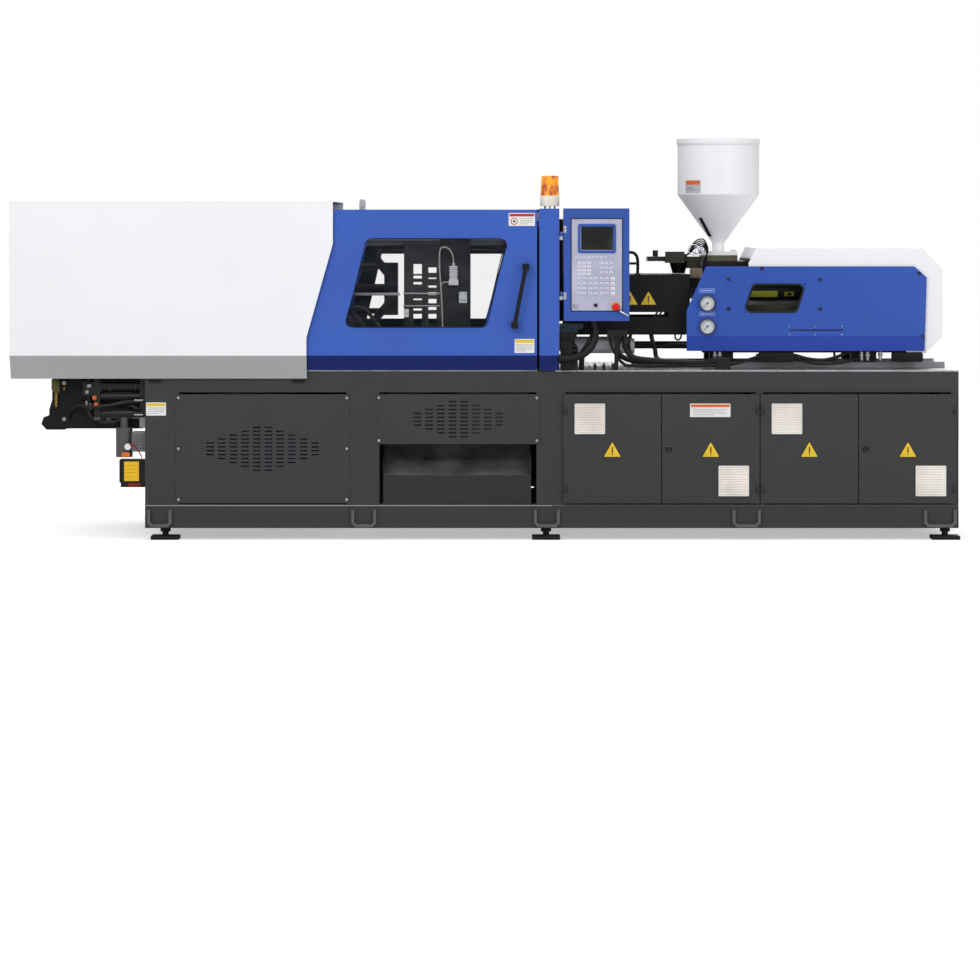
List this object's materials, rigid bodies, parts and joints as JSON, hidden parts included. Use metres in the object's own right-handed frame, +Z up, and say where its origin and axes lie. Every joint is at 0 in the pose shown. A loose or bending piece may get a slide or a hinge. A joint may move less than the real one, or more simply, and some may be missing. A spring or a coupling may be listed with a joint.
{
  "type": "injection moulding machine",
  "caption": "Horizontal toggle-clamp injection moulding machine with sliding guards, hopper, injection unit, control box and base cabinet.",
  "frame": {"origin": "on the floor, under the middle of the overall box", "axes": "+X along the machine from clamp to injection unit, +Y to the rear, +Z up"},
  "size_m": [4.76, 1.31, 2.025],
  "materials": {
    "bed_grey": "satin textured paint",
    "machine_blue": "semi-gloss paint",
    "guard_blue": "semi-gloss paint",
    "cover_white": "semi-gloss paint",
    "window_clear": "clear",
    "platen_grey": "painted casting",
    "link_steel": "machined",
    "bright_steel": "ground and chromed",
    "deck_steel": "rolled plate",
    "frame_dark": "satin",
    "guard_black": "satin",
    "hose_black": "satin",
    "fascia_lilac": "fine texture film",
    "stop_red": "moulded",
    "beacon_orange": "translucent",
    "beacon_cream": "moulded",
    "mirror_metal": "bright",
    "needle_black": "matt",
    "hydraulic_blue": "gloss paint",
    "motor_grey": "satin",
    "gear_grey": "moulded",
    "lubricator_black": "moulded",
    "slide_metal": "worn",
    "foot_black": "painted",
    "barrel_steel": "heat-tinted"
  },
  "bodies": {
    "root": {"bed_frame": "bed_grey", "levelling_feet": "foot_black", "bed_deck": "deck_steel", "vent_panels": "bed_grey", "rear_panels": "bed_grey", "drop_chute": "frame_dark", "oil_tank": "hydraulic_blue", "pump_motor": "motor_grey", "electrical_gear": "gear_grey", "oil_cooler": "motor_grey", "lubricator": "lubricator_black", "cover_frame": "frame_dark", "clamp_cover_front": "cover_white", "clamp_cover_rear": "cover_white", "guard_posts": "machine_blue", "door_tracks": "deck_steel", "beacon_base": "beacon_cream", "beacon_lens": "beacon_orange", "fixed_platen": "platen_grey", "tie_bars": "bright_steel", "tail_platen": "platen_grey", "adjusting_nuts": "link_steel", "clamp_cylinder": "hydraulic_blue", "hinge_pins": "bright_steel", "service_hoses": "hose_black", "carriage_rails": "deck_steel"},
    "beacon_reflector": {"beacon_reflector": "mirror_metal"},
    "moving_platen": {"moving_platen": "platen_grey"},
    "ejector": {"ejector_rod": "bright_steel"},
    "rear_link_upper": {"rear_link_upper": "link_steel"},
    "rear_link_lower": {"rear_link_lower": "link_steel"},
    "front_link_upper": {"front_link_upper": "link_steel"},
    "front_link_lower": {"front_link_lower": "link_steel"},
    "crosshead": {"crosshead": "link_steel"},
    "cross_link_upper": {"cross_link_upper": "link_steel"},
    "cross_link_lower": {"cross_link_lower": "link_steel"},
    "front_door": {"front_door": "machine_blue", "front_window": "window_clear"},
    "rear_door": {"rear_door": "machine_blue", "rear_window": "window_clear"},
    "control_box": {"control_box": "machine_blue", "control_fascia": "fascia_lilac"},
    "stop_button": {"stop_button": "stop_red"},
    "cabinet_door_1": {"cabinet_door_1": "bed_grey"},
    "cabinet_door_2": {"cabinet_door_2": "bed_grey"},
    "cabinet_door_3": {"cabinet_door_3": "bed_grey"},
    "cabinet_door_4": {"cabinet_door_4": "bed_grey"},
    "door_latch_2": {"door_latch_2": "link_steel"},
    "door_latch_4": {"door_latch_4": "link_steel"},
    "carriage": {"carriage_base": "platen_grey", "barrel": "barrel_steel", "barrel_guard": "guard_black", "injection_guard": "guard_blue", "injection_hood": "cover_white", "slide_plate": "slide_metal"},
    "gauge_needle_upper": {"gauge_needle_upper": "needle_black"},
    "gauge_needle_lower": {"gauge_needle_lower": "needle_black"},
    "injection_ram": {"injection_ram": "platen_grey"},
    "screw": {"screw": "bright_steel"},
    "hopper": {"hopper": "cover_white"}
  },
  "joints": [
    {"name": "platen_slide", "type": "slide", "parent": "root", "child": "moving_platen", "axis": [1, 0, 0], "range_m": [-0.32, 0]},
    {"name": "ejector_slide", "type": "slide", "parent": "moving_platen", "child": "ejector", "axis": [1, 0, 0], "range_m": [0, 0.07]},
    {"name": "rear_link_upper_pivot", "type": "hinge", "parent": "root", "child": "rear_link_upper", "pos_m": [-0.702, 0, 1.505], "axis": [0, 1, 0], "range_deg": [0, 77.12]},
    {"name": "rear_link_lower_pivot", "type": "hinge", "parent": "root", "child": "rear_link_lower", "pos_m": [-0.702, 0, 0.995], "axis": [0, 1, 0], "range_deg": [-77.12, 0]},
    {"name": "front_link_upper_pivot", "type": "hinge", "parent": "moving_platen", "child": "front_link_upper", "pos_m": [-0.29, 0, 1.505], "axis": [0, 1, 0], "range_deg": [-77.12, 0]},
    {"name": "front_link_lower_pivot", "type": "hinge", "parent": "moving_platen", "child": "front_link_lower", "pos_m": [-0.29, 0, 0.995], "axis": [0, 1, 0], "range_deg": [0, 77.12]},
    {"name": "crosshead_slide", "type": "slide", "parent": "root", "child": "crosshead", "axis": [1, 0, 0], "range_m": [-0.12916, 0]},
    {"name": "cross_link_upper_pivot", "type": "hinge", "parent": "crosshead", "child": "cross_link_upper", "pos_m": [-0.49065, 0, 1.31], "axis": [0, 1, 0], "range_deg": [-24.1, 0]},
    {"name": "cross_link_lower_pivot", "type": "hinge", "parent": "crosshead", "child": "cross_link_lower", "pos_m": [-0.49065, 0, 1.19], "axis": [0, 1, 0], "range_deg": [0, 24.1]},
    {"name": "front_door_slide", "type": "slide", "parent": "root", "child": "front_door", "axis": [1, 0, 0], "range_m": [-0.7, 0]},
    {"name": "rear_door_slide", "type": "slide", "parent": "root", "child": "rear_door", "axis": [1, 0, 0], "range_m": [-0.7, 0]},
    {"name": "control_box_hinge", "type": "hinge", "parent": "root", "child": "control_box", "pos_m": [0.378, -0.6, 1.2], "axis": [0, 0, 1], "range_deg": [-90, 0]},
    {"name": "stop_button_press", "type": "slide", "parent": "control_box", "child": "stop_button", "axis": [0, 1, 0], "range_m": [0, 0.004]},
    {"name": "cabinet_door_1_hinge", "type": "hinge", "parent": "root", "child": "cabinet_door_1", "pos_m": [0.397, -0.578, 0.26], "axis": [0, 0, 1], "range_deg": [-110, 0]},
    {"name": "cabinet_door_2_hinge", "type": "hinge", "parent": "root", "child": "cabinet_door_2", "pos_m": [1.3615, -0.578, 0.26], "axis": [0, 0, 1], "range_deg": [0, 90]},
    {"name": "cabinet_door_3_hinge", "type": "hinge", "parent": "root", "child": "cabinet_door_3", "pos_m": [1.384, -0.578, 0.26], "axis": [0, 0, 1], "range_deg": [-90, 0]},
    {"name": "cabinet_door_4_hinge", "type": "hinge", "parent": "root", "child": "cabinet_door_4", "pos_m": [2.3485, -0.578, 0.26], "axis": [0, 0, 1], "range_deg": [0, 110]},
    {"name": "door_latch_2_turn", "type": "hinge", "parent": "cabinet_door_2", "child": "door_latch_2", "pos_m": [0.9145, -0.57, 0.458], "axis": [0, 1, 0], "range_deg": [0, 90]},
    {"name": "door_latch_4_turn", "type": "hinge", "parent": "cabinet_door_4", "child": "door_latch_4", "pos_m": [1.9015, -0.57, 0.458], "axis": [0, 1, 0], "range_deg": [0, 90]},
    {"name": "carriage_slide", "type": "slide", "parent": "root", "child": "carriage", "axis": [1, 0, 0], "range_m": [0, 0.25]},
    {"name": "ram_slide", "type": "slide", "parent": "carriage", "child": "injection_ram", "axis": [1, 0, 0], "range_m": [0, 0.18]},
    {"name": "screw_spin", "type": "hinge", "parent": "injection_ram", "child": "screw", "pos_m": [1.5, 0, 1.25], "axis": [1, 0, 0], "continuous": true},
    {"name": "hopper_slide", "type": "slide", "parent": "carriage", "child": "hopper", "axis": [1, 0, 0], "range_m": [-0.19, 0]},
    {"name": "gauge_upper_turn", "type": "hinge", "parent": "carriage", "child": "gauge_needle_upper", "pos_m": [1.12, -0.394, 1.183], "axis": [0, 1, 0], "range_deg": [0, 270]},
    {"name": "gauge_lower_turn", "type": "hinge", "parent": "carriage", "child": "gauge_needle_lower", "pos_m": [1.12, -0.394, 1.066], "axis": [0, 1, 0], "range_deg": [0, 270]},
    {"name": "beacon_spin", "type": "hinge", "parent": "root", "child": "beacon_reflector", "pos_m": [0.32, -0.55, 1.74], "axis": [0, 0, 1], "continuous": true}
  ],
  "couplings": [
    {"joint": "rear_link_upper_pivot", "follows": "platen_slide", "rad_per_m": -4.205},
    {"joint": "rear_link_lower_pivot", "follows": "platen_slide", "rad_per_m": 4.205},
    {"joint": "front_link_upper_pivot", "follows": "platen_slide", "rad_per_m": 4.205},
    {"joint": "front_link_lower_pivot", "follows": "platen_slide", "rad_per_m": -4.205},
    {"joint": "crosshead_slide", "follows": "platen_slide", "ratio": 0.40301},
    {"joint": "cross_link_upper_pivot", "follows": "platen_slide", "rad_per_m": 1.3132},
    {"joint": "cross_link_lower_pivot", "follows": "platen_slide", "rad_per_m": -1.3132}
  ]
}
